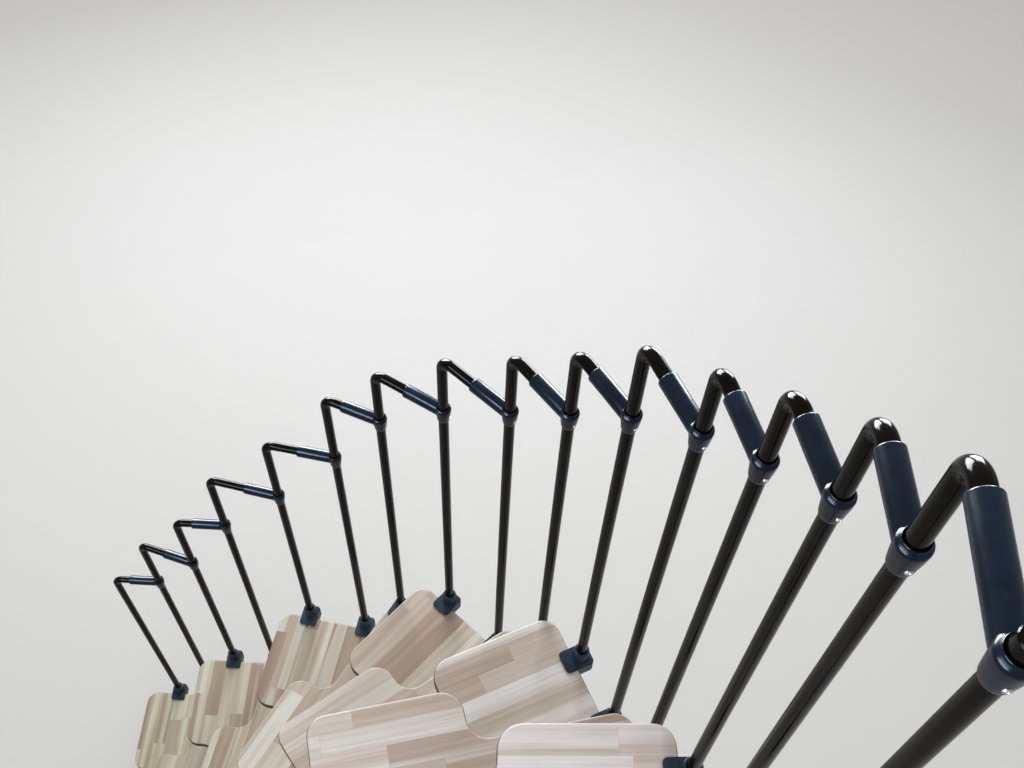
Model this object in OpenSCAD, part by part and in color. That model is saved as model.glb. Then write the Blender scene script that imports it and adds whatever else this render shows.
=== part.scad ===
// Compact stair with alternating paddle treads: a straight lower flight that
// then winds a quarter turn, carried on a chain of steel carriers, with a
// stepped railing of bent tubes along its outer side.
// The origin is on the floor, at the middle of the floor flange's lower face.
// X points the way that the first treads climb, and Y to the railing side.

/* [Flight] */
// Rise from one tread to the next
riser_h = 240; // [200:5:260]
// Distance in plan from one carrier tube to the next
going = 146; // [132:1:170]
// Turn of the first winding tread, in degrees
first_turn = 19.2; // [8:0.2:20]
// Turn of each further tread, in degrees
turn = 11.8; // [6:0.2:13]
// Turn of the first and third treads the other way, in degrees
low_turn = 9; // [0:0.5:12]

/* [Treads] */
// Length of a tread, from its inner end to its outer end
tread_l = 562; // [500:2:680]
// Thickness of a tread
tread_t = 25; // [20:1:32]
// Depth of the broad half of a tread
broad_depth = 277; // [255:1:290]
// How far the slim half's nosing lies behind the broad half's
step_depth = 98; // [90:1:106]
// Radius of a tread's two front corners
corner_r = 36; // [15:1:42]
// Radius of its two rear corners
rear_corner_r = 20; // [10:1:30]
// Radius of the outward bend between the two halves
bend_out_r = 43; // [26:1:45]
// Radius of the inward bend between the two halves
bend_in_r = 41; // [26:1:45]
// Distance from a tread's middle to the step between its halves
step_y = 5; // [-10:1:20]
// Gap between a tread and the tube that rises behind it
tread_gap = 20; // [12:1:24]

/* [Carriers] */
// Outer diameter of a carrier's tube
spine_d = 48; // [42:1:54]
// Wall of a carrier's tube
spine_wall = 4; // [3:0.5:6]
// Wall of the socket that the next tube stands in
socket_wall = 6; // [4:0.5:9]
// Height of a socket below the saddle
socket_h = 80; // [60:5:110]
// Gap between a tube and its socket, all round
socket_gap = 0.5; // [0.2:0.1:0.8]
// Length of tube left below a socket
tail_l = 20; // [5:5:40]
// Height of the web between tube and socket
web_h = 60; // [45:5:75]
// Width of the web
web_w = 30; // [20:2:38]
// Wall of the web's box section
web_wall = 4; // [3:0.5:6]
// Thickness of the saddle plate that a tread lies on
saddle_t = 6; // [4:1:10]
// Length of the saddle plate, along the tread
saddle_l = 240; // [180:10:280]
// Width of the saddle plate
saddle_w = 92; // [76:2:110]
// Diameter of the screw holes in a saddle plate
screw_hole_d = 7; // [5:0.5:9]

/* [Floor flange] */
// Side of the square flange
flange_w = 200; // [180:10:260]
// Thickness of the flange
flange_t = 10; // [8:1:16]
// Distance between its bolt holes
flange_pitch = 150; // [130:5:170]
// Diameter of its bolt holes
flange_hole_d = 14; // [11:1:18]
// Height of the socket on the flange
foot_socket_h = 80; // [50:5:100]

/* [Top fixing] */
// Width of the plate against the upper floor's edge
wall_plate_w = 200; // [160:10:240]
// Height of that plate
wall_plate_h = 120; // [100:5:160]
// Thickness of that plate and of its shelf
wall_plate_t = 8; // [6:1:12]
// Distance between its bolt holes
wall_pitch = 150; // [120:5:180]
// Diameter of its bolt holes
wall_hole_d = 12; // [9:1:14]

/* [Balusters] */
// Outer diameter of the tube
tube_d = 20; // [14:0.5:22]
// Wall of the tube
tube_wall = 2; // [1:0.25:3]
// Radius of the bend, to the tube's middle
bend_r = 26; // [18:1:32]
// Height of the first arm over the first tread
arm_h = 946; // [850:2:1050]
// Rise from arm to arm where the stair winds
upper_arm_rise = 168; // [150:1:180]
// Rise between the last four arms
top_arm_rise = 136; // [110:2:170]
// Height of the last baluster's end over the last arm
end_up = 34; // [22:1:60]
// Distance from a tread's outer end to the middle of a baluster
post_reach = 15; // [13:0.5:20]
// Front baluster of the first and third treads, behind the nosing
lower_front = 108; // [80:1:120]
// Rear baluster of the first and third treads, before the rear edge
lower_rear = 37; // [28:1:50]
// Front baluster of the fifth and seventh treads, behind the nosing
middle_front = 82; // [70:1:105]
// Front baluster of the ninth tread, behind the nosing
upper_front = 105; // [80:1:120]
// Rear baluster of the fifth, seventh and ninth treads, before the rear edge
upper_rear = 30; // [26:1:45]
// Baluster on the sixth tread's slim end, behind the nosing
first_slim_front = 32; // [26:1:60]
// Baluster on the eighth tread's slim end, behind the nosing
slim_front = 84; // [50:1:100]
// Baluster on the tenth tread's slim end, behind the nosing
high_slim_front = 67; // [50:1:100]
// Baluster on the last tread's slim end, behind the nosing
last_slim_front = 28; // [26:1:60]
// Front baluster of the eleventh tread, behind the nosing
top_front = 77; // [50:1:100]
// Rear baluster of the eleventh tread, before the rear edge
top_rear = 84; // [50:1:105]

/* [Rail joints] */
// Outer diameter of the sleeve on an arm
sleeve_d = 27; // [24:0.5:28]
// Length of the sleeve, from the middle of the next baluster
sleeve_l = 86; // [70:1:92]
// Length of the last sleeve, at the top of the stair
last_sleeve_l = 110; // [86:1:120]
// Outer diameter of the collar round the next baluster
collar_d = 30; // [29:0.5:34]
// Height of the collar above the arm's middle
collar_up = 15; // [14.5:0.5:18]
// Height of the collar's round wall below the arm's middle
collar_down = 9; // [7:0.5:12]
// Height of the cone under the collar
cone_h = 12; // [8:1:20]
// Radius of the rounded rim at the collar's top
rim_r = 2.5; // [1:0.25:3]
// Gap between the tube and the plastic round it
tube_gap = 0.2; // [0.1:0.05:0.4]

/* [Post brackets] */
// Width of the bracket's two flaps, along the tread's end
flap_w = 48; // [42:1:52]
// Length of the flaps on the tread
flap_l = 25; // [18:1:32]
// Thickness of the flaps
flap_t = 6; // [4:0.5:8]
// Distance from a baluster's middle to its bracket's outer end
body_reach = 21; // [19:1:24]
// Outer diameter of the boss that holds the baluster
boss_d = 33; // [28:1:36]
// Height of the boss above the upper flap
boss_up = 34; // [10:1:40]
// Floor of the boss under the baluster
boss_floor = 4; // [3:0.5:8]

/* [Hidden] */
$fn = 64;
tiny = 0.01;
tread_count = 12;
post_count = 16;
straight_treads = 5;
straight_posts = 6;
winding_end = 11;
plate_corner_r = 12;
flap_corner_r = 9;
screw_inset = 15;
cut_over = 1;
stop_gap = 3;
cone_lip = 1.5;

rear_x = going - spine_d / 2 - tread_gap;
broad_x = rear_x - broad_depth;
slim_x = broad_x + step_depth;
socket_bore = spine_d + 2 * socket_gap;
socket_d = socket_bore + 2 * socket_wall;
saddle_top = -tread_t;
saddle_bottom = saddle_top - saddle_t;
post_y = tread_l / 2 + post_reach;
boss_bottom = -tread_t - flap_t - boss_floor;
plastic_bore = tube_d + 2 * tube_gap;
arm_stop = plastic_bore / 2 + stop_gap;

// The way the flight climbs at each tread, the way the tread itself faces, and
// where its carrier's tube stands
function bearing(k) = k <= straight_treads ? 0 : -first_turn - turn * (k - straight_treads - 1);
function heading(k) = bearing(k) + (k < straight_treads && !is_even(k) ? low_turn : 0);
function web_angle(k) = (bearing(k) + bearing(k + 1)) / 2;
function stride(k) = going * [cos(web_angle(k)), sin(web_angle(k))];
function tube_at(k) = k <= 1 ? [0, 0] : tube_at(k - 1) + stride(k - 1);
function is_even(n) = n % 2 == 0;

// The tread that carries each baluster, and the baluster's place along that tread's end
function post_tread(i) = i <= straight_posts
    ? 2 * floor((i - 1) / 2) + 1
    : straight_treads + 1 + 2 * floor((i - straight_posts - 1) / 3) + min(1, post_kind(i));
function post_kind(i) = i <= straight_posts ? 1 + (i - 1) % 2 : (i - straight_posts - 1) % 3;
function front_gap(i) = i < straight_posts - 1 ? lower_front : i < straight_posts + 3 ? middle_front
    : i > post_count - 3 ? top_front : upper_front;
function back_gap(i) = i < straight_posts ? lower_rear : i == post_count - 1 ? top_rear : upper_rear;
function slim_gap(i) = i == straight_posts + 1 ? first_slim_front
    : i == post_count ? last_slim_front : i > winding_end ? high_slim_front : slim_front;
function post_x(i) = post_kind(i) == 0 ? slim_x + slim_gap(i)
    : post_kind(i) == 1 ? broad_x + front_gap(i) : rear_x - back_gap(i);
function turned(p, a) = [p[0] * cos(a) - p[1] * sin(a), p[0] * sin(a) + p[1] * cos(a)];
function post_at(i) = tube_at(post_tread(i)) + turned([post_x(i), post_y], heading(post_tread(i)));

// Height of each arm: a full rise a baluster below, smaller ones where the stair winds and at its top
function arm_z(i) = arm_h + riser_h * min(i, straight_posts) + top_arm_rise * max(0, i - winding_end)
    + upper_arm_rise * (min(max(i, straight_posts), winding_end) - straight_posts);
function post_top(i) = i == post_count ? arm_z(i - 1) + end_up : arm_z(i) - bend_r;
function arm_run(i) = post_at(i + 1) - post_at(i);
function arm_angle(i) = atan2(arm_run(i)[1], arm_run(i)[0]);

module on_tread(k) {
    translate([tube_at(k)[0], tube_at(k)[1], k * riser_h]) rotate(heading(k)) children();
}

// A rectangle from corner a to corner b with round corners, of radius r at
// its low x side and q at its high x side
module round_plate(a, b, r, q) {
    translate([a[0] + r, a[1]]) square([b[0] - a[0] - r - q, b[1] - a[1]]);
    translate([a[0], a[1] + r]) square([r, b[1] - a[1] - 2 * r]);
    translate([b[0] - q, a[1] + q]) square([q, b[1] - a[1] - 2 * q]);
    for (y = [a[1] + r, b[1] - r]) translate([a[0] + r, y]) circle(r);
    for (y = [a[1] + q, b[1] - q]) translate([b[0] - q, y]) circle(q);
}

// Outline of a tread with its broad half towards +Y, and the step between the
// halves bent out at the broad nosing and in at the slim one
module paddle() {
    half = tread_l / 2;
    round_plate([slim_x, -half], [rear_x, half], corner_r, rear_corner_r);
    difference() {
        translate([broad_x, step_y]) square([broad_depth - rear_corner_r - cut_over, half - step_y]);
        translate([broad_x - cut_over, step_y - cut_over]) square(bend_out_r + cut_over);
        translate([broad_x - cut_over, half - corner_r]) square(corner_r + cut_over);
    }
    translate([broad_x + bend_out_r, step_y + bend_out_r]) circle(bend_out_r);
    translate([broad_x + corner_r, half - corner_r]) circle(corner_r);
    difference() {
        translate([slim_x - bend_in_r, step_y - bend_in_r]) square([bend_in_r + corner_r, bend_in_r]);
        translate([slim_x - bend_in_r, step_y - bend_in_r]) circle(bend_in_r);
    }
}

// The last tread, level with the upper floor, is slim along its whole length
module tread(k) {
    color("burlywood") on_tread(k) mirror([0, is_even(k) ? 1 : 0, 0])
        translate([0, 0, -tread_t]) linear_extrude(tread_t) {
            if (k < tread_count) paddle();
            else round_plate([slim_x, -tread_l / 2], [rear_x, tread_l / 2], corner_r, rear_corner_r);
        }
}

module ring(outer, inner, height) {
    difference() {
        cylinder(d = outer, h = height);
        translate([0, 0, -tiny]) cylinder(d = inner, h = height + 2 * tiny);
    }
}

// Plate under a tread, with four screw holes
module saddle() {
    x0 = -spine_d / 2;
    hole_x = [x0 + screw_inset, x0 + saddle_w - screw_inset];
    hole_y = saddle_l / 2 - screw_inset;
    translate([0, 0, saddle_bottom]) difference() {
        linear_extrude(saddle_t)
            round_plate([x0, -saddle_l / 2], [x0 + saddle_w, saddle_l / 2], plate_corner_r, plate_corner_r);
        for (x = hole_x, y = [-hole_y, hole_y])
            translate([x, y, -tiny]) cylinder(d = screw_hole_d, h = saddle_t + 2 * tiny);
    }
}

// Box section from the tube to the socket that the next tube stands in
module web() {
    top = saddle_bottom + saddle_t / 2;
    bottom = saddle_bottom - web_h;
    difference() {
        translate([0, -web_w / 2, bottom]) cube([going, web_w, top - bottom]);
        translate([0, web_wall - web_w / 2, bottom + web_wall])
            cube([going, web_w - 2 * web_wall, top - bottom - 2 * web_wall]);
        translate([0, 0, bottom - cut_over])
            cylinder(d = spine_d - spine_wall, h = top - bottom + 2 * cut_over);
        translate([going, 0, bottom - cut_over])
            cylinder(d = socket_bore + socket_wall, h = top - bottom + 2 * cut_over);
    }
}

// The first tube stands on the floor flange, each other one hangs through the socket below
function tube_foot(k) = k == 1 ? flange_t - riser_h : saddle_bottom - riser_h - socket_h - tail_l;

module carrier_tube(k) {
    translate([0, 0, tube_foot(k)])
        ring(spine_d, spine_d - 2 * spine_wall, saddle_bottom + saddle_t / 2 - tube_foot(k));
}

module socket() {
    translate([going, 0, saddle_bottom - socket_h]) ring(socket_d, socket_bore, socket_h + saddle_t);
}

module carrier(k) {
    color("dimgray") on_tread(k) {
        carrier_tube(k);
        saddle();
        if (k < tread_count) rotate(web_angle(k) - heading(k)) {
            web();
            socket();
        }
    }
}

module floor_flange() {
    side = flange_w / 2;
    hole = flange_pitch / 2;
    color("dimgray") {
        difference() {
            linear_extrude(flange_t)
                round_plate([-side, -side], [side, side], plate_corner_r, plate_corner_r);
            for (x = [-hole, hole], y = [-hole, hole])
                translate([x, y, -tiny]) cylinder(d = flange_hole_d, h = flange_t + 2 * tiny);
        }
        translate([0, 0, flange_t]) ring(socket_d, socket_bore, foot_socket_h);
    }
}

// Plate against the upper floor's edge, with a shelf bolted under the last saddle
module top_fixing() {
    side = wall_plate_w / 2;
    hole = wall_pitch / 2;
    shelf_top = saddle_bottom;
    x0 = spine_d / 2 + tread_gap;
    color("dimgray") on_tread(tread_count) {
        translate([x0, -side, shelf_top - wall_plate_t])
            cube([rear_x - wall_plate_t - x0, 2 * side, wall_plate_t]);
        difference() {
            translate([rear_x - wall_plate_t, -side, shelf_top - wall_plate_h])
                cube([wall_plate_t, 2 * side, wall_plate_h]);
            for (y = [-hole, hole])
                translate([rear_x + cut_over, y, shelf_top - wall_plate_h / 2])
                    rotate([0, -90, 0]) cylinder(d = wall_hole_d, h = wall_plate_t + 2 * cut_over);
        }
    }
}

// A bent tube: post, quarter bend and arm; the last post is straight
module baluster(i) {
    foot = post_tread(i) * riser_h - tread_t - flap_t;
    last = i == post_count;
    color([0.09, 0.085, 0.08]) translate([post_at(i)[0], post_at(i)[1], post_top(i)])
        rotate(last ? 0 : arm_angle(i)) {
        mirror([0, 0, 1]) ring(tube_d, tube_d - 2 * tube_wall, post_top(i) - foot);
        if (!last) {
            translate([bend_r, 0, 0]) rotate([-90, 0, 0]) mirror([0, 1, 0]) mirror([1, 0, 0])
                rotate_extrude(angle = 90) translate([bend_r, 0]) difference() {
                    circle(d = tube_d);
                    circle(d = tube_d - 2 * tube_wall);
                }
            translate([bend_r, 0, bend_r]) rotate([0, 90, 0])
                ring(tube_d, tube_d - 2 * tube_wall, norm(arm_run(i)) - arm_stop - bend_r);
        }
    }
}

// Collar with a rounded rim and a cone below, turned about the post
module collar_body() {
    rotate_extrude() {
        polygon([
            [0, -collar_down - cone_h],
            [tube_d / 2 + cone_lip, -collar_down - cone_h],
            [collar_d / 2, -collar_down],
            [collar_d / 2, collar_up - rim_r],
            [collar_d / 2 - rim_r, collar_up - rim_r],
            [collar_d / 2 - rim_r, collar_up],
            [0, collar_up]
        ]);
        translate([collar_d / 2 - rim_r, collar_up - rim_r]) circle(rim_r);
    }
}

// A sleeve stops short of the bend where two posts stand close together
function own_sleeve(i) = i == post_count - 1 ? last_sleeve_l : sleeve_l;
function sleeve_run(i) = min(own_sleeve(i), norm(arm_run(i)) - bend_r - stop_gap);

// Sleeve and collar that tie arm i to the next post
module rail_joint(i) {
    translate([post_at(i + 1)[0], post_at(i + 1)[1], arm_z(i)]) rotate(arm_angle(i)) difference() {
        union() {
            collar_body();
            rotate([0, -90, 0]) cylinder(d = sleeve_d, h = sleeve_run(i));
        }
        translate([0, 0, -collar_down - cone_h - cut_over])
            cylinder(d = plastic_bore, h = collar_up + collar_down + cone_h + 2 * cut_over);
        translate([-arm_stop, 0, 0]) rotate([0, -90, 0]) cylinder(d = plastic_bore, h = own_sleeve(i));
    }
}

module rail_joints() {
    color([0.13, 0.14, 0.18]) for (i = [1 : post_count - 1]) rail_joint(i);
}

// Clamp round a tread's end: two flaps, and a boss that the post stands in
module post_bracket(i) {
    side = flap_w / 2;
    inner = tread_l / 2 - flap_l;
    top = flap_t + boss_up;
    on_tread(post_tread(i)) translate([post_x(i), 0, 0]) difference() {
        union() {
            translate([0, 0, -tread_t - flap_t]) linear_extrude(tread_t + 2 * flap_t)
                round_plate([-side, inner], [side, post_y + body_reach], flap_corner_r, flap_corner_r);
            translate([0, post_y, boss_bottom]) cylinder(d = boss_d, h = top - boss_bottom);
        }
        translate([-side - cut_over, inner - cut_over, -tread_t])
            cube([flap_w + 2 * cut_over, flap_l + cut_over, tread_t]);
        translate([0, post_y, -tread_t - flap_t])
            cylinder(d = plastic_bore, h = top + tread_t + flap_t + cut_over);
    }
}

module post_brackets() {
    color([0.12, 0.13, 0.17]) for (i = [1 : post_count]) post_bracket(i);
}

floor_flange();
top_fixing();
carrier(1);  // carrier_01
carrier(2);  // carrier_02
carrier(3);  // carrier_03
carrier(4);  // carrier_04
carrier(5);  // carrier_05
carrier(6);  // carrier_06
carrier(7);  // carrier_07
carrier(8);  // carrier_08
carrier(9);  // carrier_09
carrier(10);  // carrier_10
carrier(11);  // carrier_11
carrier(12);  // carrier_12
tread(1);  // tread_01
tread(2);  // tread_02
tread(3);  // tread_03
tread(4);  // tread_04
tread(5);  // tread_05
tread(6);  // tread_06
tread(7);  // tread_07
tread(8);  // tread_08
tread(9);  // tread_09
tread(10);  // tread_10
tread(11);  // tread_11
tread(12);  // tread_12
baluster(1);  // baluster_01
baluster(2);  // baluster_02
baluster(3);  // baluster_03
baluster(4);  // baluster_04
baluster(5);  // baluster_05
baluster(6);  // baluster_06
baluster(7);  // baluster_07
baluster(8);  // baluster_08
baluster(9);  // baluster_09
baluster(10);  // baluster_10
baluster(11);  // baluster_11
baluster(12);  // baluster_12
baluster(13);  // baluster_13
baluster(14);  // baluster_14
baluster(15);  // baluster_15
baluster(16);  // baluster_16
rail_joints();
post_brackets();
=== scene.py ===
import math

import bmesh
import bpy
from mathutils import Matrix, Vector


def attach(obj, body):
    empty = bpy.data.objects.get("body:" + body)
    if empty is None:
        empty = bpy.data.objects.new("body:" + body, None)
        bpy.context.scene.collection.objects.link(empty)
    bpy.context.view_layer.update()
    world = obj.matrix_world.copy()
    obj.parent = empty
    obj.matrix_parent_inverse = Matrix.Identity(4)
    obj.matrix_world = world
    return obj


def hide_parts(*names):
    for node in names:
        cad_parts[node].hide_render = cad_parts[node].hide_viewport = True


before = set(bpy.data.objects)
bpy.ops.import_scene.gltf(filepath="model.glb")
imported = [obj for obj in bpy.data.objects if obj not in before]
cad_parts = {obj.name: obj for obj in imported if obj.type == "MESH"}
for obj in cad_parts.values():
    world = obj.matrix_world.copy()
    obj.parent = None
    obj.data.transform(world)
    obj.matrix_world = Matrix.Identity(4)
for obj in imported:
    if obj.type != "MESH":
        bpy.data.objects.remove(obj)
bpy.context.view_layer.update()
scene = bpy.context.scene
scene.view_settings.view_transform = "Standard"

# the view of the photograph, in the stair's own axes
viewCamera = {
    "place": (1.2442, -0.9531, 4.4118),
    "right": (0.97983, 0.19750, 0.03027),
    "up": (-0.17985, 0.80578, 0.56424),
    "lens": 40.93,
}


def makeCamera(s):
    data = bpy.data.cameras.new("viewCamera")
    data.sensor_width = 36
    data.lens = s["lens"]
    data.clip_start, data.clip_end = 0.05, 200
    camera = bpy.data.objects.new("viewCamera", data)
    right = Vector(s["right"]).normalized()
    back = right.cross(Vector(s["up"])).normalized()
    up = back.cross(right)
    turn = Matrix((right, up, back)).transposed().to_4x4()
    camera.matrix_world = Matrix.Translation(s["place"]) @ turn
    scene.collection.objects.link(camera)
    scene.camera = camera


makeCamera(viewCamera)
print("camera placed")

# how the stair climbs; lengths in metres, turns in degrees
stair = {
    "rise": 0.240,
    "going": 0.146,
    "straight": 5,
    "firstTurn": 19.2,
    "turn": 11.8,
    "lowTurn": 9.0,
    "treads": 12,
}


def bearing(k):
    late = k - stair["straight"] - 1
    return -math.radians(stair["firstTurn"] + stair["turn"] * late) if late >= 0 else 0.0


def heading(k):
    # the first and third treads are turned a little the other way
    return bearing(k) + (math.radians(stair["lowTurn"]) if k in (1, 3) else 0.0)


def webAngle(k):
    return (bearing(k) + bearing(k + 1)) / 2


def tubeAt(k):
    x = sum(stair["going"] * math.cos(webAngle(j)) for j in range(1, k))
    y = sum(stair["going"] * math.sin(webAngle(j)) for j in range(1, k))
    return Vector((x, y, k * stair["rise"]))


def onTread(k):
    return Matrix.Translation(tubeAt(k)) @ Matrix.Rotation(heading(k), 4, "Z")


def alongWeb(k):
    return Matrix.Translation(tubeAt(k)) @ Matrix.Rotation(webAngle(k), 4, "Z")


class Wire:
    # a shader socket that takes part in ordinary sums

    def __init__(self, finish, socket):
        self.finish = finish
        self.socket = socket

    def sum(self, operation, *values):
        return self.finish.node("Math", {"operation": operation}, dict(enumerate(values)))

    def __add__(self, other):
        return self.sum("ADD", self, other)

    def __sub__(self, other):
        return self.sum("SUBTRACT", self, other)

    def __mul__(self, other):
        return self.sum("MULTIPLY", self, other)

    def __truediv__(self, other):
        return self.sum("DIVIDE", self, other)

    def __radd__(self, other):
        return self.sum("ADD", other, self)

    def __rsub__(self, other):
        return self.sum("SUBTRACT", other, self)

    def __rmul__(self, other):
        return self.sum("MULTIPLY", other, self)


class Finish:
    # one material and its nodes

    def __init__(self, name):
        self.material = bpy.data.materials.new(name)
        self.material.use_nodes = True
        self.tree = self.material.node_tree
        self.tree.nodes.clear()

    def node(self, kind, settings=None, inputs=None, out=0):
        made = self.tree.nodes.new("ShaderNode" + kind)
        for key, value in (settings or {}).items():
            if key == "stops":
                while len(made.color_ramp.elements) < len(value):
                    made.color_ramp.elements.new(1.0)
                for stop, (at, colour) in zip(made.color_ramp.elements, value):
                    stop.position = at
                    stop.color = (*colour, 1) if len(colour) == 3 else colour
            else:
                setattr(made, key, value)
        for key, value in (inputs or {}).items():
            self.feed(made.inputs[key], value)
        return Wire(self, made.outputs[out])

    def feed(self, socket, value):
        if isinstance(value, Wire):
            self.tree.links.new(value.socket, socket)
        elif hasattr(value, "__len__") and len(value) == 3 and len(socket.default_value) == 4:
            socket.default_value = (*value, 1)
        else:
            socket.default_value = value

    def place(self, shift=(0, 0, 0), turn=0.0):
        # Object coordinates, or a tread's own coordinates when shifted and turned
        plain = self.node("TexCoord", out=3)
        if not any(shift) and not turn:
            return plain
        inputs = {"Vector": plain, "Location": shift, "Rotation": (0, 0, turn)}
        return self.node("Mapping", {"vector_type": "TEXTURE"}, inputs)

    def noise(self, vector, scale, detail=2.0, roughness=0.5):
        inputs = {"Vector": vector, "Scale": scale, "Detail": detail, "Roughness": roughness}
        return self.node("TexNoise", {}, inputs)

    def grain(self, vector, stretch, detail, roughness=0.5):
        # noise drawn out along one axis; stretch is its fineness along x, y and z
        drawn = self.node("VectorMath", {"operation": "MULTIPLY"}, {0: vector, 1: stretch})
        return self.noise(drawn, 1.0, detail, roughness)

    def chance(self, x, y, z):
        # one steady random number for each whole x, y and z
        spot = self.node("CombineXYZ", {}, {"X": x, "Y": y, "Z": z})
        return self.node("TexWhiteNoise", {"noise_dimensions": "3D"}, {"Vector": spot})

    def ramp(self, factor, stops):
        return self.node("ValToRGB", {"stops": stops}, {"Fac": factor})

    def spread(self, value, low, high, start=0.0, end=1.0):
        inputs = {"Value": value, 1: low, 2: high, 3: start, 4: end}
        return self.node("MapRange", {"clamp": True}, inputs)

    def blend(self, factor, first, second, kind="MIX"):
        settings = {"data_type": "RGBA", "blend_type": kind}
        return self.node("Mix", settings, {0: factor, 6: first, 7: second}, out=2)

    def bump(self, height, distance, strength):
        return self.node("Bump", {}, {"Height": height, "Distance": distance, "Strength": strength})

    def surface(self, **inputs):
        named = {key.replace("_", " "): value for key, value in inputs.items()}
        shader = self.node("BsdfPrincipled", {}, named)
        output = self.tree.nodes.new("ShaderNodeOutputMaterial")
        self.tree.links.new(shader.socket, output.inputs["Surface"])
        return self.material


# glued strips of pale hardwood under satin lacquer; lengths in metres
treadWood = {
    "stripWidth": 0.0405,
    "blockLength": 0.315,
    # how much of a block's tone is its own and how much its strip's, and the span that is used
    "blockShare": 0.62,
    "stripShare": 0.38,
    "toneSpan": (0.17, 0.83),
    "tones": [
        (0.00, (0.385, 0.275, 0.210)),
        (0.18, (0.485, 0.385, 0.308)),
        (0.40, (0.575, 0.490, 0.410)),
        (0.62, (0.650, 0.578, 0.505)),
        (0.82, (0.715, 0.665, 0.605)),
        (1.00, (0.780, 0.750, 0.710)),
    ],
    # tints of the lowest and the highest board, partly board tone and partly painted light: dimmer
    # yellow-green light below, paler bluish sheen above
    "lowTintAndLight": (0.890, 0.925, 0.800),
    "highTintAndLight": (1.160, 1.195, 1.310),
    "figure": (0.740, 0.630, 0.550),
    "sapwood": (0.780, 0.745, 0.695),
    "pores": (0.330, 0.240, 0.180),
    "seam": (0.330, 0.240, 0.180),
    # edge darkens the rims and sides: partly darker side wood, partly painted shade
    "edge": (0.560, 0.470, 0.410),
    # endGrainAndShade darkens the board ends: mostly painted shade, with some darker end grain
    "endGrainAndShade": (0.260, 0.170, 0.125),
    "hues": [
        (0.0, (1.030, 0.982, 0.980)),
        (0.5, (1.005, 1.000, 1.000)),
        (1.0, (0.980, 1.004, 0.975)),
    ],
    # single boards made paler or darker than the rest: partly their own tone, partly painted light
    # and shade that falls unevenly on them
    "boardToneAndLight": {3: -0.09, 5: -0.42, 7: -0.06, 9: 0.07, 10: -0.04, 11: 0.20},
    # how fine each marking is across, along and through the board
    "figureGrain": (38, 1.9, 38),
    "sapwoodGrain": (34, 1.1, 34),
    "streakGrain": (210, 4.5, 210),
    "poreGrain": (1000, 34, 1000),
    # from which value each marking shows, where it is full, and how strong it is then
    "figureShows": (0.42, 0.68, 0.0, 0.70),
    "sapwoodShows": (0.54, 0.62, 0.0, 0.60),
    "streakShows": (0.45, 0.72, 0.0, 0.50),
    "poresShow": (0.60, 0.74, 0.0, 0.22),
    "seamWidth": (0.0001, 0.0006),
    "seamShows": 0.28,
    "edgeDepth": (-0.0036, -0.0012),
    "endGrainAndShadeShows": (0.08, 0.45),
    "rough": (0.52, 0.64),
    "streakRough": 0.05,
    "reliefDepth": 0.0003,
    "relief": 0.3,
    "coat": 0.04,
    "coatRough": 0.35,
    "specular": 0.22,
}


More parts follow.
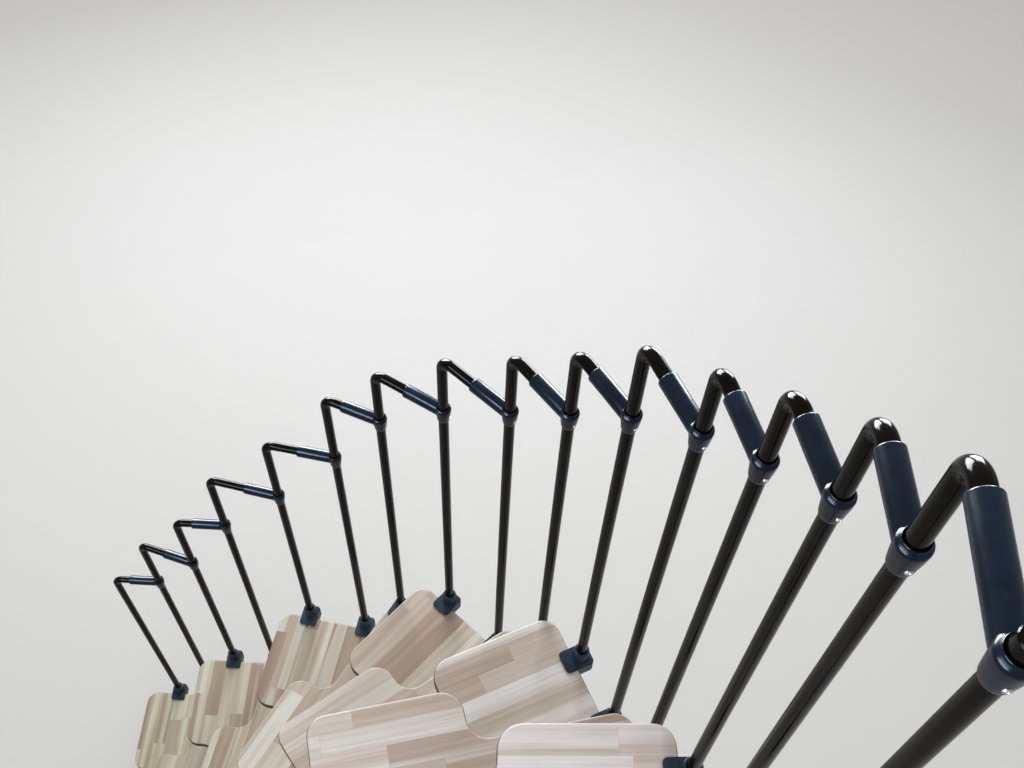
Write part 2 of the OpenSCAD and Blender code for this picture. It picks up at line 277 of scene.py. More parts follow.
def treadWoodFinish(name, k, s):
    f = Finish(name)
    # the boards grow a little paler and less yellow up the stair: partly their own tone, partly
    # painted light, with a paler bluish sheen on the upper boards and dimmer yellow-green light on
    # the lower ones
    climb = (k - 1) / (stair["treads"] - 1)
    tintAndLight = [low + (high - low) * climb for low, high in zip(s["lowTintAndLight"], s["highTintAndLight"])]
    tones = [(stop, tuple(c * t for c, t in zip(tone, tintAndLight))) for stop, tone in s["tones"]]
    sapwoodTone = tuple(c * t for c, t in zip(s["sapwood"], tintAndLight))
    at = f.place(tubeAt(k), heading(k))
    split = f.node("SeparateXYZ", {}, {"Vector": at}).socket.node.outputs
    x, y, z = (Wire(f, split[i]) for i in range(3))
    strips = x / s["stripWidth"] + (0.37 + 0.61 * k) % 1.0
    strip = strips.sum("FLOOR", strips)
    start = f.chance(strip, k, 1.5)
    blocks = y / s["blockLength"] + start * 5.0
    block = blocks.sum("FLOOR", blocks)
    own = f.chance(strip, block, k + 0.5)
    other = f.chance(strip, block, k + 40.5)
    # boardToneAndLight shifts a single board's tone; part of that shift is painted light and shade
    boardToneAndLight = s["boardToneAndLight"].get(k, 0.0)
    ofStrip = f.chance(strip, k, 9.5)
    tone = f.spread(own * s["blockShare"] + ofStrip * s["stripShare"] + boardToneAndLight, *s["toneSpan"])
    hue = f.ramp(f.chance(strip, block, k + 80.5), s["hues"])
    colour = f.blend(1.0, f.ramp(tone, tones), hue, "MULTIPLY")
    # each block is cut from its own place in the log
    shift = f.node("CombineXYZ", {}, {"X": other * 3.0, "Y": own * 7.0, "Z": strip * 0.31})
    log = f.node("VectorMath", {"operation": "ADD"}, {0: at, 1: shift})
    figure = f.grain(log, s["figureGrain"], 2.0)
    sapwood = f.grain(log, s["sapwoodGrain"], 1.0)
    streak = f.grain(log, s["streakGrain"], 4.0, 0.62)
    pores = f.grain(log, s["poreGrain"], 2.0)
    colour = f.blend(f.spread(sapwood, *s["sapwoodShows"]), colour, sapwoodTone)
    colour = f.blend(f.spread(figure, *s["figureShows"]), colour, s["figure"], "MULTIPLY")
    colour = f.blend(f.spread(streak, *s["streakShows"]), colour, s["figure"], "MULTIPLY")
    colour = f.blend(f.spread(pores, *s["poresShow"]), colour, s["pores"])
    # fine dark lines where strips and blocks meet
    across = strips - strip
    along = blocks - block
    edge = across.sum("MINIMUM", across, 1 - across) * s["stripWidth"]
    butt = along.sum("MINIMUM", along, 1 - along) * s["blockLength"]
    seam = f.spread(edge.sum("MINIMUM", edge, butt), *s["seamWidth"], 1.0, 0.0)
    colour = f.blend(seam * s["seamShows"], colour, s["seam"])
    # the edge all round is darker than the face, partly darker side wood and partly painted shade
    # on the rims and sides; the board's ends are much darker, mostly painted shade with some darker
    # end grain
    # painted shade in part: everything from the rounded rim down is darkened
    side = f.spread(z, *s["edgeDepth"], 1.0, 0.0)
    colour = f.blend(side, colour, s["edge"], "MULTIPLY")
    # painted shade on the board ends, with some darker end grain: faces that cut across the grain
    # are darkened
    facing = f.node("NewGeometry", out=1)
    grainAxis = (-math.sin(heading(k)), math.cos(heading(k)), 0.0)
    ends = f.node("VectorMath", {"operation": "DOT_PRODUCT"}, {0: facing, 1: grainAxis}, out=1)
    cut = f.spread(ends * ends, *s["endGrainAndShadeShows"])
    colour = f.blend(cut, colour, s["endGrainAndShade"], "MULTIPLY")
    wear = f.noise(at, 9.0, 3.0, 0.6)
    rough = f.spread(wear, 0.3, 0.7, *s["rough"]) + streak * s["streakRough"]
    relief = f.bump(streak * 0.6 - seam * 0.8 - pores * 0.3, s["reliefDepth"], s["relief"])
    return f.surface(
        Base_Color=colour, Roughness=rough, Normal=relief,
        Coat_Weight=s["coat"], Coat_Roughness=s["coatRough"], Specular_IOR_Level=s["specular"],
    )


# gloss black paint with a slight orange peel
tubePaint = {
    "colour": (0.0046, 0.0032, 0.0026),
    "warm": (0.0090, 0.0060, 0.0048),
    "worn": (0.030, 0.022, 0.018),
    "scuffGrain": (160, 160, 22),
    "rough": (0.10, 0.15),
    "specular": 0.055,
}


def tubePaintFinish(name, s):
    f = Finish(name)
    at = f.place()
    cloud = f.noise(at, 7.0, 3.0)
    peel = f.noise(at, 420.0, 1.0)
    scuffs = f.spread(f.grain(at, s["scuffGrain"], 5.0, 0.7), 0.66, 0.74)
    colour = f.blend(f.spread(cloud, 0.3, 0.8), s["colour"], s["warm"])
    colour = f.blend(scuffs * 0.25, colour, s["worn"])
    rough = f.spread(cloud, 0.3, 0.7, *s["rough"]) + scuffs * 0.12
    return f.surface(
        Base_Color=colour, Roughness=rough, Normal=f.bump(peel, 0.00012, 0.15),
        Specular_IOR_Level=s["specular"],
    )


# moulded plastic with a fine texture, darker blue on the tees than on the brackets
jointPlastic = {
    "colour": (0.0056, 0.0122, 0.0275),
    "light": (0.0095, 0.0200, 0.0430),
    "rubbed": (0.060, 0.070, 0.090),
    "rough": (0.18, 0.26),
    "specular": 0.14,
}
bracketPlastic = {
    "colour": (0.0185, 0.0310, 0.0500),
    "light": (0.0470, 0.0710, 0.1060),
    "rubbed": (0.060, 0.070, 0.090),
    "rough": (0.34, 0.44),
    "specular": 0.11,
}


def plasticFinish(name, s):
    f = Finish(name)
    at = f.place()
    cloud = f.noise(at, 22.0, 4.0, 0.6)
    fine = f.noise(at, 900.0, 2.0, 0.6)
    rub = f.spread(f.noise(at, 60.0, 5.0, 0.7), 0.62, 0.78)
    colour = f.blend(f.spread(cloud, 0.35, 0.75), s["colour"], s["light"])
    colour = f.blend(rub * 0.25, colour, s["rubbed"])
    rough = f.spread(cloud, 0.3, 0.7, *s["rough"]) + rub * 0.12
    return f.surface(
        Base_Color=colour, Roughness=rough, Normal=f.bump(fine, 0.00015, 0.30),
        Specular_IOR_Level=s["specular"],
    )


# textured dark grey powder coat, with dust on what faces up
carrierPaint = {
    "colour": (0.0240, 0.0245, 0.0265),
    "light": (0.0340, 0.0345, 0.0370),
    "dust": (0.150, 0.142, 0.130),
    "dustShows": 0.22,
    "rough": (0.40, 0.52),
}


def carrierPaintFinish(name, s):
    f = Finish(name)
    at = f.place()
    cloud = f.noise(at, 11.0, 4.0, 0.6)
    grit = f.noise(at, 650.0, 2.0, 0.7)
    facing = f.node("NewGeometry", out=1)
    up = Wire(f, f.node("SeparateXYZ", {}, {"Vector": facing}).socket.node.outputs[2])
    dust = f.spread(up, 0.5, 1.0) * f.spread(cloud, 0.35, 0.7) * s["dustShows"]
    colour = f.blend(f.spread(cloud, 0.3, 0.8), s["colour"], s["light"])
    colour = f.blend(dust, colour, s["dust"])
    rough = f.spread(cloud, 0.3, 0.7, *s["rough"]) + dust
    return f.surface(Base_Color=colour, Roughness=rough, Normal=f.bump(grit, 0.0003, 0.4))


screwSteel = {
    "colour": (0.62, 0.61, 0.60),
    "dull": (0.40, 0.39, 0.38),
    "rough": (0.26, 0.40),
}


def screwSteelFinish(name, s):
    f = Finish(name)
    at = f.place()
    cloud = f.noise(at, 130.0, 3.0)
    colour = f.blend(f.spread(cloud, 0.3, 0.8), s["colour"], s["dull"])
    return f.surface(
        Base_Color=colour, Roughness=f.spread(cloud, 0.3, 0.7, *s["rough"]), Metallic=1.0,
        Normal=f.bump(cloud, 0.0002, 0.3),
    )


tubeBlack = tubePaintFinish("tube_paint", tubePaint)
jointBlack = plasticFinish("joint_plastic", jointPlastic)
bracketBlack = plasticFinish("bracket_plastic", bracketPlastic)
carrierGrey = carrierPaintFinish("carrier_paint", carrierPaint)
screwGrey = screwSteelFinish("screw_steel", screwSteel)
print("finishes made")

# in degrees and in metres
sharpAngle = 35
joinDistance = 0.000002


def makePiece(name, bm, materials, place=None):
    # turns a finished bmesh into a piece that rides on the stair
    bmesh.ops.remove_doubles(bm, verts=bm.verts, dist=joinDistance)
    bmesh.ops.recalc_face_normals(bm, faces=bm.faces)
    if place is not None:
        bmesh.ops.transform(bm, matrix=place, verts=bm.verts)
    mesh = bpy.data.meshes.new(name)
    bm.to_mesh(mesh)
    bm.free()
    mesh.shade_smooth()
    mesh.set_sharp_from_angle(angle=math.radians(sharpAngle))
    piece = bpy.data.objects.new(name, mesh)
    scene.collection.objects.link(piece)
    for material in materials:
        mesh.materials.append(material)
    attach(piece, "root")
    return piece


def revolve(bm, profile, steps=32, material=0):
    # a profile of (radius, height) points turned once round Z
    before = set(bm.faces)
    points = [bm.verts.new((r, 0, z)) for r, z in profile]
    edges = [bm.edges.new(pair) for pair in zip(points, points[1:])]
    bmesh.ops.spin(bm, geom=points + edges, cent=(0, 0, 0), axis=(0, 0, 1),
                   angle=2 * math.pi, steps=steps, use_merge=True)
    made = [face for face in bm.faces if face not in before]
    for face in made:
        face.material_index = material
    return list({v for face in made for v in face.verts})


def shiftTo(bm, verts, place):
    bmesh.ops.transform(bm, matrix=place, verts=verts)


def addPanScrew(bm, place, radius, height, material=0):
    # a low round head with a dished socket, on the plane z = 0 of its place
    verts = revolve(bm, [
        (0.0, -0.0008), (radius, -0.0008), (radius, height * 0.45),
        (radius * 0.93, height * 0.80), (radius * 0.76, height), (radius * 0.50, height),
        (radius * 0.42, height * 0.30), (0.0, height * 0.22),
    ], 20, material)
    shiftTo(bm, verts, place)


# a washer's thickness, and the thread on the end of a stud
hexHead = {
    "washer": 0.0018,
    "chamfer": 0.07,
    "threads": 13,
    "threadDepth": 0.0005,
    "halfPitch": 0.0006,
}


def addHexHead(bm, place, across, height, washer=0.0, stud=0.0, material=0):
    # a hexagon head or nut, its washer below and the end of a stud above
    s = hexHead
    before = set(bm.verts)
    lift = 0.0
    if washer:
        lift = s["washer"]
        revolve(bm, [
            (0.0, -0.0005), (washer, -0.0005), (washer, lift - 0.0006), (washer - 0.0005, lift),
            (0.0, lift),
        ], 28, material)
    ring = bmesh.ops.create_circle(bm, radius=across / math.sqrt(3), segments=6, cap_ends=True)
    bmesh.ops.translate(bm, vec=(0, 0, lift), verts=ring["verts"])
    foot = [f for f in ring["verts"][0].link_faces if len(f.verts) == 6]
    grown = bmesh.ops.extrude_face_region(bm, geom=foot)["geom"]
    top = [g for g in grown if isinstance(g, bmesh.types.BMVert)]
    bmesh.ops.translate(bm, vec=(0, 0, height), verts=top)
    rim = [g for g in grown if isinstance(g, bmesh.types.BMEdge)]
    bmesh.ops.bevel(bm, geom=rim, offset=across * s["chamfer"], offset_type="OFFSET",
                    affect="EDGES", segments=2, profile=0.5, material=-1)
    if stud:
        start = lift + height - 0.0010
        turns = [(stud - s["threadDepth"] * (n % 2), start + s["halfPitch"] * n)
                 for n in range(s["threads"])]
        end = turns[-1][1]
        tip = [(stud - 0.0012, end + 0.0006), (0.0, end + 0.0008)]
        revolve(bm, [(0.0, start - 0.0002)] + turns + tip, 18, material)
    made = [v for v in bm.verts if v not in before]
    for face in {f for v in made for f in v.link_faces}:
        face.material_index = material
    shiftTo(bm, made, place)


def addBead(bm, place, length, radius, material=0):
    # a rippled weld bead along Z
    count = max(4, int(length / 0.0018))
    ripples = [(radius * (1.0 if n % 2 else 0.86), length * (n + 0.5) / count)
               for n in range(count)]
    shiftTo(bm, revolve(bm, [(0.0, 0.0)] + ripples + [(0.0, length)], 10, material), place)


# a tread's outline and edges, seen with its broad half towards +Y
board = {
    "half": 0.281,
    "thick": 0.025,
    "rear": 0.102,
    "broad": -0.175,
    "slim": -0.077,
    "step": 0.005,
    "frontRadius": 0.036,
    "rearRadius": 0.020,
    "bendOut": 0.043,
    "bendIn": 0.041,
    "eased": 0.0035,
}


def makeBoard(k, s):
    bm = bmesh.new()
    corners = [
        (s["slim"], -s["half"], s["frontRadius"]),
        (s["rear"], -s["half"], s["rearRadius"]),
        (s["rear"], s["half"], s["rearRadius"]),
        (s["broad"], s["half"], s["frontRadius"]),
        (s["broad"], s["step"], s["bendOut"]),
        (s["slim"], s["step"], s["bendIn"]),
    ]
    if k == stair["treads"]:
        # the last tread is slim along its whole length
        corners[3:] = [(s["slim"], s["half"], s["frontRadius"])]
    verts = [bm.verts.new((x, y, -s["thick"])) for x, y, _ in corners]
    bm.faces.new(verts)
    for vert, corner in zip(verts, corners):
        bmesh.ops.bevel(bm, geom=[vert], offset=corner[2], offset_type="OFFSET",
                        affect="VERTICES", segments=12, profile=0.5, material=-1)
    grown = bmesh.ops.extrude_face_region(bm, geom=list(bm.faces), use_keep_orig=True)["geom"]
    lifted = [g for g in grown if isinstance(g, bmesh.types.BMVert)]
    bmesh.ops.translate(bm, vec=(0, 0, s["thick"]), verts=lifted)
    bmesh.ops.recalc_face_normals(bm, faces=bm.faces)
    rims = [e for e in bm.edges if abs(e.verts[0].co.z - e.verts[1].co.z) < 1e-6]
    bmesh.ops.bevel(bm, geom=rims, offset=s["eased"], offset_type="OFFSET", affect="EDGES",
                    segments=4, profile=0.5, material=-1)
    flats = [f for f in bm.faces if abs(f.normal.z) > 0.999]
    bmesh.ops.inset_region(bm, faces=flats, thickness=0.0008, use_even_offset=True)
    if k % 2 == 0:
        bmesh.ops.scale(bm, vec=(1, -1, 1), verts=bm.verts)
    wood = treadWoodFinish("tread_wood_%02d" % k, k, treadWood)
    piece = makePiece("board_%02d" % k, bm, [wood], onTread(k))
    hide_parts("tread_%02d" % k)


for k in range(1, stair["treads"] + 1):
    makeBoard(k, board)
print("boards made")

# each baluster's tread and its place along that tread's outer end
balusterPlaces = [
    (1, -0.067), (1, 0.065), (3, -0.067), (3, 0.065), (5, -0.093), (5, 0.072),
    (6, -0.045), (7, -0.093), (7, 0.072), (8, 0.007), (9, -0.070), (9, 0.072),
    (10, -0.010), (11, -0.098), (11, 0.018), (12, -0.049),
]
railing = {
    "radius": 0.010,
    "bend": 0.026,
    "out": 0.296,
    "foot": -0.031,
    "firstArm": 0.946,
    "windingRise": 0.168,
    "topRise": 0.136,
    "armStop": 0.0132,
    "lastUp": 0.034,
    "sides": 36,
    "bendSteps": 18,
    "capDepth": 0.003,
    # how the closed end of the last tube draws in as it rises
    "capSteps": ((0.90, 0.0016), (0.66, 0.0010), (0.33, 0.0004)),
}


def armHeight(i):
    s = railing
    winding = min(max(i, 6), 11) - 6
    lower = s["firstArm"] + stair["rise"] * min(i, 6)
    return lower + s["windingRise"] * winding + s["topRise"] * max(0, i - 11)


def balusterAt(i):
    tread, along = balusterPlaces[i - 1]
    spot = onTread(tread) @ Vector((along, railing["out"], 0))
    return Vector((spot.x, spot.y, 0))


def armRun(i):
    return (balusterAt(i + 1) - balusterAt(i)).length


def armTurn(i):
    run = balusterAt(i + 1) - balusterAt(i)
    return math.atan2(run.y, run.x)


def makeBaluster(i, s):
    tread = balusterPlaces[i - 1][0]
    foot = tread * stair["rise"] + s["foot"]
    last = i == len(balusterPlaces)
    top = armHeight(i - 1) + s["lastUp"] if last else armHeight(i) - s["bend"]
    bm = bmesh.new()
    ends = bmesh.ops.create_circle(bm, radius=s["radius"], segments=s["sides"], cap_ends=True)
    bmesh.ops.translate(bm, vec=(0, 0, foot), verts=ends["verts"])
    rim = list(bm.edges)

    def pull(edges, move):
        grown = bmesh.ops.extrude_edge_only(bm, edges=edges)["geom"]
        verts = [g for g in grown if isinstance(g, bmesh.types.BMVert)]
        bmesh.ops.translate(bm, vec=move, verts=verts)
        return [g for g in grown if isinstance(g, bmesh.types.BMEdge) and g.is_boundary]

    if last:
        rim = pull(rim, (0, 0, top - foot - s["capDepth"]))
        cap = bmesh.ops.edgeloop_fill(bm, edges=rim)["faces"]
        for shrink, rise in s["capSteps"]:
            cap = bmesh.ops.extrude_face_region(bm, geom=cap)["geom"]
            verts = [g for g in cap if isinstance(g, bmesh.types.BMVert)]
            bmesh.ops.translate(bm, vec=(0, 0, rise), verts=verts)
            for v in verts:
                v.co.x *= shrink
                v.co.y *= shrink
            cap = [g for g in cap if isinstance(g, bmesh.types.BMFace)]
        place = Matrix.Translation(balusterAt(i))
    else:
        rim = pull(rim, (0, 0, top - foot))
        swung = bmesh.ops.spin(bm, geom=rim, cent=(s["bend"], 0, top), axis=(0, 1, 0),
                               angle=math.pi / 2, steps=s["bendSteps"])["geom_last"]
        rim = [g for g in swung if isinstance(g, bmesh.types.BMEdge)]
        rim = pull(rim, (armRun(i) - s["armStop"] - s["bend"], 0, 0))
        bmesh.ops.edgeloop_fill(bm, edges=rim)
        place = Matrix.Translation(balusterAt(i)) @ Matrix.Rotation(armTurn(i), 4, "Z")
    piece = makePiece("post_%02d" % i, bm, [tubeBlack], place)
    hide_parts("baluster_%02d" % i)


for i in range(1, len(balusterPlaces) + 1):
    makeBaluster(i, railing)
print("balusters made")

# the plastic tee that ties an arm to the next baluster
railJoint = {
    "bore": 0.0102,
    "barrel": 0.0148,
    "rim": 0.0154,
    "up": 0.0150,
    "down": 0.0275,
    "sleeve": 0.0135,
    "sleeveLength": 0.086,
    "lastSleeve": 0.110,
    "clear": 0.0104,
    "bendGap": 0.003,
    "screw": 0.0034,
    "screwHeight": 0.0016,
    "screwOut": 0.0128,
    "screwUp": -0.0155,
    "screwTilt": 96,
    "sides": 48,
}


def makeRailJoint(i, s):
    bm = bmesh.new()
    bore, barrel, rim = s["bore"], s["barrel"], s["rim"]
    up, down = s["up"], -s["down"]
    # a cone that swells to a round shoulder, a flat ring and a raised lip by the tube
    revolve(bm, [
        (bore, down), (0.0109, down), (0.0116, down + 0.0004), (0.0120, down + 0.0014),
        (0.0124, down + 0.0034), (0.0131, down + 0.0095), (0.0139, down + 0.0165),
        (barrel, down + 0.0250), (rim, up - 0.0092), (rim, up - 0.0078),
        (rim - 0.0002, up - 0.0066), (rim - 0.0006, up - 0.0055), (rim - 0.0012, up - 0.0046),
        (rim - 0.0020, up - 0.0038), (0.0124, up - 0.0028), (0.0123, up - 0.0020),
        (0.0123, up - 0.0012), (0.0121, up - 0.0004), (0.0117, up), (0.0113, up - 0.0002),
        (0.0109, up - 0.0010), (0.0107, up - 0.0030), (bore, up - 0.0040), (bore, down),
    ], s["sides"])
    # the sleeve's near end is coped round the post
    length = s["lastSleeve"] if i == len(balusterPlaces) - 1 else s["sleeveLength"]
    end = min(length, armRun(i) - railing["bend"] - s["bendGap"])
    thick = s["sleeve"]
    tube = revolve(bm, [
        (bore, 0.0), (thick, 0.0), (thick, end - 0.0018), (thick - 0.0003, end - 0.0008),
        (thick - 0.0010, end - 0.0002), (thick - 0.0016, end), (bore + 0.0009, end),
        (bore + 0.0003, end - 0.0003), (bore, end - 0.0010), (bore, 0.0),
    ], s["sides"])
    for vert in tube:
        if vert.co.z < 0.0001:
            vert.co.z = math.sqrt(max(0.0, s["clear"] ** 2 - vert.co.y ** 2))
    shiftTo(bm, tube, Matrix.Rotation(-math.pi / 2, 4, "Y"))
    # the grub screw low on the collar, opposite the sleeve
    tilt = Matrix.Rotation(math.radians(s["screwTilt"]), 4, "Y")
    face = Matrix.Translation((s["screwOut"], 0, s["screwUp"])) @ tilt
    addPanScrew(bm, face, s["screw"], s["screwHeight"], 1)
    centre = balusterAt(i + 1) + Vector((0, 0, armHeight(i)))
    place = Matrix.Translation(centre) @ Matrix.Rotation(armTurn(i), 4, "Z")
    piece = makePiece("rail_joint_%02d" % i, bm, [jointBlack, screwGrey], place)
    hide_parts("rail_joints")


for i in range(1, len(balusterPlaces)):
    makeRailJoint(i, railJoint)
print("rail joints made")

# the clamp at a tread's end: two flaps, the block beyond the end and the post's boss
bracket = {
    "half": 0.024,
    "inner": 0.256,
    "end": 0.2813,
    "outer": 0.317,
    "layers": (0.006, 0.025, 0.006),
    "flapLevels": (-0.028, 0.003),
    "low": -0.031,
    "corner": 0.009,
    "eased": 0.0018,
    "boss": 0.0165,
    "bossTop": 0.040,
    "bossFoot": -0.035,
    "bore": 0.0102,
    # radius and height of the screws' heads, and where they sit
    "sideScrew": (0.0034, 0.0016),
    "sideScrewUp": 0.0220,
    "underScrew": (0.0052, 0.0028),
    "underScrewIn": 0.012,
}


def makeBracket(i, s):
    tread, along = balusterPlaces[i - 1]
    half, end, outer, low = s["half"], s["end"], s["outer"], s["low"]
    bm = bmesh.new()
    footprint = ((-half, end), (half, end), (half, outer), (-half, outer))
    faces = [bm.faces.new([bm.verts.new((x, y, low)) for x, y in footprint])]

    def push(faces, move, keep=False):
        grown = bmesh.ops.extrude_face_region(bm, geom=faces, use_keep_orig=keep)["geom"]
        verts = [g for g in grown if isinstance(g, bmesh.types.BMVert)]
        bmesh.ops.translate(bm, vec=move, verts=verts)
        return [g for g in grown if isinstance(g, bmesh.types.BMFace)]

    for rise in s["layers"]:
        faces = push(faces, (0, 0, rise), keep=len(bm.faces) == 1)
    for level in s["flapLevels"]:
        flap = [f for f in bm.faces if all(abs(v.co.y - end) < 1e-6 for v in f.verts)
                and abs(f.calc_center_median().z - level) < 0.001]
        push(flap, (0, s["inner"] - end, 0))
    upright = [e for e in bm.edges if abs(e.verts[0].co.z - e.verts[1].co.z) > 1e-4
               and min(abs(e.verts[0].co.y - y) for y in (outer, s["inner"])) < 1e-6]
    bmesh.ops.bevel(bm, geom=upright, offset=s["corner"], offset_type="OFFSET", affect="EDGES",
                    segments=6, profile=0.5, material=-1)
    bmesh.ops.recalc_face_normals(bm, faces=bm.faces)
    crisp = [e for e in bm.edges if e.is_manifold and e.is_convex and e.calc_face_angle() > 1.0]
    bmesh.ops.bevel(bm, geom=crisp, offset=s["eased"], offset_type="OFFSET", affect="EDGES",
                    segments=3, profile=0.5, material=-1)
    r, top, foot, bore = s["boss"], s["bossTop"], s["bossFoot"], s["bore"]
    boss = revolve(bm, [
        (0.0, foot), (r - 0.0050, foot), (r - 0.0022, foot + 0.0008), (r - 0.0005, foot + 0.0026),
        (r, foot + 0.0050), (r, 0.0080), (r - 0.0006, top - 0.0060), (r - 0.0012, top - 0.0030),
        (r - 0.0026, top - 0.0008), (r - 0.0042, top), (bore + 0.0010, top),
        (bore + 0.0003, top - 0.0005), (bore, top - 0.0014), (bore, -0.0308), (0.0, -0.0308),
    ], 40)
    bmesh.ops.translate(bm, vec=(0, railing["out"], 0), verts=boss)
    side = Matrix.Translation((0, railing["out"] + r - 0.0009, s["sideScrewUp"]))
    addPanScrew(bm, side @ Matrix.Rotation(-math.pi / 2, 4, "X"), *s["sideScrew"], 1)
    under = Matrix.Translation((0, s["inner"] + s["underScrewIn"], low + 0.0004))
    addPanScrew(bm, under @ Matrix.Rotation(math.pi, 4, "X"), *s["underScrew"], 1)
    place = onTread(tread) @ Matrix.Translation((along, 0, 0))
    piece = makePiece("bracket_%02d" % i, bm, [bracketBlack, screwGrey], place)
    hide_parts("post_brackets")


for i in range(1, len(balusterPlaces) + 1):
    makeBracket(i, bracket)
print("brackets made")

# screws, bolts, welds and end plugs of the steel carriers
fixings = {
    "saddleHoles": ((-0.009, -0.105), (-0.009, 0.105), (0.053, -0.105), (0.053, 0.105)),
    "saddleLow": -0.031,
    "tube": 0.024,
    "socket": 0.0305,
    "webHalf": 0.015,
    "webLow": -0.090,
    "clampDrops": (0.026, 0.058),
    "tail": -0.371,
    # radius and height of a saddle screw's head, and radius of a weld bead
    "saddleScrew": (0.0068, 0.0034),
    "bead": 0.0029,
    "boltAcross": 0.013,
    "boltHeight": 0.0055,
    # size across flats, height, washer's radius, and the radius of an anchor's stud
    "anchor": (0.019, 0.010, 0.0140, 0.0058),
    "anchorOut": 0.075,
    "flangeTop": 0.010,
    "flangeSocketTop": 0.096,
    "wallBolt": (0.017, 0.0070, 0.0125),
    "wallBoltOut": 0.075,
    "topBoltOut": 0.060,
}


def ringWeld(bm, place, radius):
    # a weld fillet round a tube, its foot on z = 0 of its place
    verts = revolve(bm, [
        (radius - 0.0006, -0.0004), (radius + 0.0052, -0.0004), (radius + 0.0046, 0.0008),
        (radius + 0.0026, 0.0018), (radius + 0.0014, 0.0034), (radius + 0.0002, 0.0050),
        (radius - 0.0006, 0.0050), (radius - 0.0006, -0.0004),
    ], 40)
    shiftTo(bm, verts, place)


def clampBolts(bm, place, top, s):
    outward = Matrix.Rotation(math.pi / 2, 4, "Y")
    for drop in s["clampDrops"]:
        spot = place @ Matrix.Translation((s["socket"] - 0.0006, 0, top - drop)) @ outward
        addHexHead(bm, spot, s["boltAcross"], s["boltHeight"], material=1)


def makeCarrierFixings(k, s):
    bm = bmesh.new()
    low = s["saddleLow"]
    down = Matrix.Rotation(math.pi, 4, "X")
    for x, y in s["saddleHoles"]:
        spot = onTread(k) @ Matrix.Translation((x, y, low)) @ down
        addPanScrew(bm, spot, *s["saddleScrew"], 1)
    ringWeld(bm, onTread(k) @ Matrix.Translation((0, 0, low)) @ down, s["tube"])
    if k < stair["treads"]:
        web = alongWeb(k)
        far = stair["going"] - math.sqrt(s["socket"] ** 2 - s["webHalf"] ** 2)
        near = math.sqrt(s["tube"] ** 2 - s["webHalf"] ** 2)
        for x in (near, far):
            for y in (-s["webHalf"], s["webHalf"]):
                spot = web @ Matrix.Translation((x, y, s["webLow"]))
                addBead(bm, spot, low - 0.002 - s["webLow"], s["bead"])
        clampBolts(bm, web @ Matrix.Translation((stair["going"], 0, 0)), low, s)
    if k > 1:
        plug = revolve(bm, [
            (0.0, -0.0034), (0.0170, -0.0034), (0.0215, -0.0026), (0.0236, -0.0008),
            (0.0238, 0.0), (0.0198, 0.0), (0.0198, 0.0100), (0.0, 0.0100),
        ], 36, 2)
        shiftTo(bm, plug, onTread(k) @ Matrix.Translation((0, 0, s["tail"])))
    coats = [carrierGrey, screwGrey, bracketBlack]
    makePiece("carrier_fixings_%02d" % k, bm, coats)


for k in range(1, stair["treads"] + 1):
    makeCarrierFixings(k, fixings)


def makeEndFixings(s):
    bm = bmesh.new()
    for x in (-s["anchorOut"], s["anchorOut"]):
        for y in (-s["anchorOut"], s["anchorOut"]):
            addHexHead(bm, Matrix.Translation((x, y, s["flangeTop"])), *s["anchor"], 1)
    ringWeld(bm, Matrix.Translation((0, 0, s["flangeTop"])), s["socket"])
    clampBolts(bm, Matrix.Rotation(math.pi, 4, "Z"), s["flangeSocketTop"], s)
    top = onTread(stair["treads"])
    for y in (-s["wallBoltOut"], s["wallBoltOut"]):
        spot = Matrix.Translation((0.094, y, -0.091)) @ Matrix.Rotation(-math.pi / 2, 4, "Y")
        addHexHead(bm, top @ spot, *s["wallBolt"], material=1)
    for y in (-s["topBoltOut"], s["topBoltOut"]):
        spot = Matrix.Translation((0.062, y, -0.039)) @ Matrix.Rotation(math.pi, 4, "X")
        addHexHead(bm, top @ spot, s["boltAcross"], s["boltHeight"], 0.0100, material=1)
    makePiece("end_fixings", bm, [carrierGrey, screwGrey])


makeEndFixings(fixings)
print("fixings made")

# the steel nodes stay as they are, and only get their paint
for node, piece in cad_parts.items():
    if node.startswith("carrier") or node in ("floor_flange", "top_fixing"):
        piece.data.materials.clear()
        piece.data.materials.append(carrierGrey)
print("steel finished")

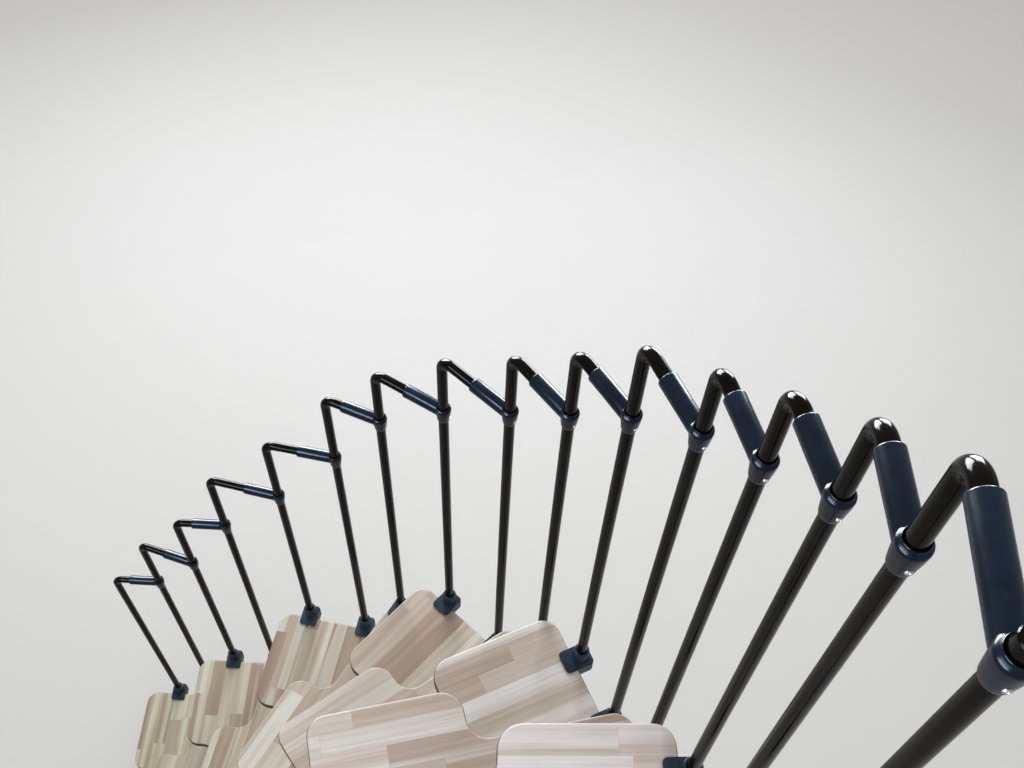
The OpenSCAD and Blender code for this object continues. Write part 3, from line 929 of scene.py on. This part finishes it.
# pale floor, pale air and soft lamps
studio = {
    "floor": (0.66, 0.655, 0.645),
    "floorCloud": (0.645, 0.640, 0.630),
    "floorRough": 0.85,
    "floorDrop": 0.0005,
    "floorReach": 60.0,
    "air": (0.56, 0.56, 0.555),
    # name, place, aim, size, power, colour; the gloss ones light nothing dull
    "lamps": [
        ("skyLamp", (-0.2, 4.4, 5.6), (0.7, -0.2, 2.4), (2.4, 1.3), 205,
         (1.0, 0.99, 0.97), "dull"),
        ("fillLamp", (3.2, -3.6, 6.4), (0.8, -0.2, 2.0), (2.6, 2.6), 34,
         (1.0, 0.98, 0.95), "dull"),
        ("leftGloss", (-1.5, 4.4, 2.9), (0.9, -0.3, 2.9), (3.4, 2.4), 1500,
         (0.90, 0.95, 1.0), "gloss"),
        ("rightGloss", (2.2, 4.6, 2.9), (0.9, -0.3, 2.9), (2.4, 2.4), 700,
         (0.84, 0.92, 1.0), "gloss"),
        ("sideGloss", (-1.7, -2.9, 5.0), (1.0, -0.3, 3.2), (3.4, 1.6), 640,
         (0.62, 0.76, 1.0), "gloss"),
    ],
}


def makeStudio(s):
    bm = bmesh.new()
    bmesh.ops.create_circle(bm, cap_ends=True, radius=s["floorReach"], segments=96)
    mesh = bpy.data.meshes.new("studioFloor")
    bm.to_mesh(mesh)
    bm.free()
    floor = bpy.data.objects.new("studioFloor", mesh)
    floor.location.z = -s["floorDrop"]
    scene.collection.objects.link(floor)
    f = Finish("studio_floor")
    cloud = f.noise(f.place(), 3.0)
    colour = f.blend(f.spread(cloud, 0.3, 0.7, 0, 0.3), s["floor"], s["floorCloud"])
    mesh.materials.append(f.surface(Base_Color=colour, Roughness=s["floorRough"]))
    world = bpy.data.worlds.new("studioAir")
    scene.world = world
    world.use_nodes = True
    air = world.node_tree.nodes["Background"]
    air.inputs["Color"].default_value = (*s["air"], 1)
    air.inputs["Strength"].default_value = 1.0
    for name, spot, aim, size, power, colour, use in s["lamps"]:
        lamp = bpy.data.lights.new(name, "AREA")
        lamp.shape = "RECTANGLE"
        lamp.size, lamp.size_y = size
        lamp.energy = power
        lamp.color = colour
        holder = bpy.data.objects.new(name, lamp)
        look = (Vector(aim) - Vector(spot)).to_track_quat("-Z", "Y").to_matrix().to_4x4()
        holder.matrix_world = Matrix.Translation(spot) @ look
        holder.visible_camera = False
        holder.visible_diffuse = use == "dull"
        holder.visible_glossy = use == "gloss"
        scene.collection.objects.link(holder)


makeStudio(studio)
print("studio made")

bpy.context.view_layer.update()
